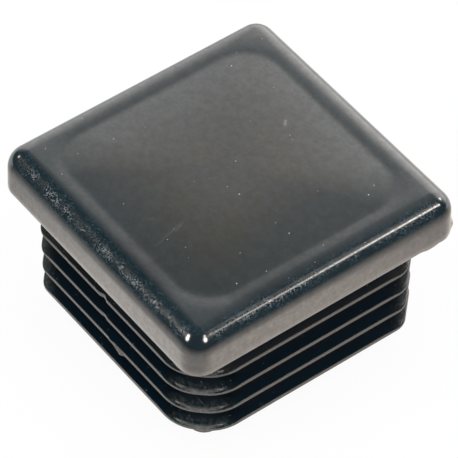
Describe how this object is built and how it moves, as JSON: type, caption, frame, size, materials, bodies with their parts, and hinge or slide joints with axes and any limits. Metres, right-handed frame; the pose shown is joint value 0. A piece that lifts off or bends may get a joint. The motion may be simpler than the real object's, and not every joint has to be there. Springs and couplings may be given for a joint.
{
  "type": "tube end cap",
  "caption": "Push-in end cap for square metal tube: a crowned square head, flush with the tube, over a hollow square core ringed by thin gripping fins.",
  "frame": {"origin": "centre of the head's underside, which is the plane of the tube's end", "axes": "+Z points out of the tube through the head; X and Y are square to the head's sides"},
  "size_m": [0.04, 0.04, 0.0254],
  "materials": {
    "moulding": "glossy black polyethylene, lightly scuffed on its edges"
  },
  "bodies": {
    "root": {"end_cap": "moulding"}
  },
  "joints": []
}
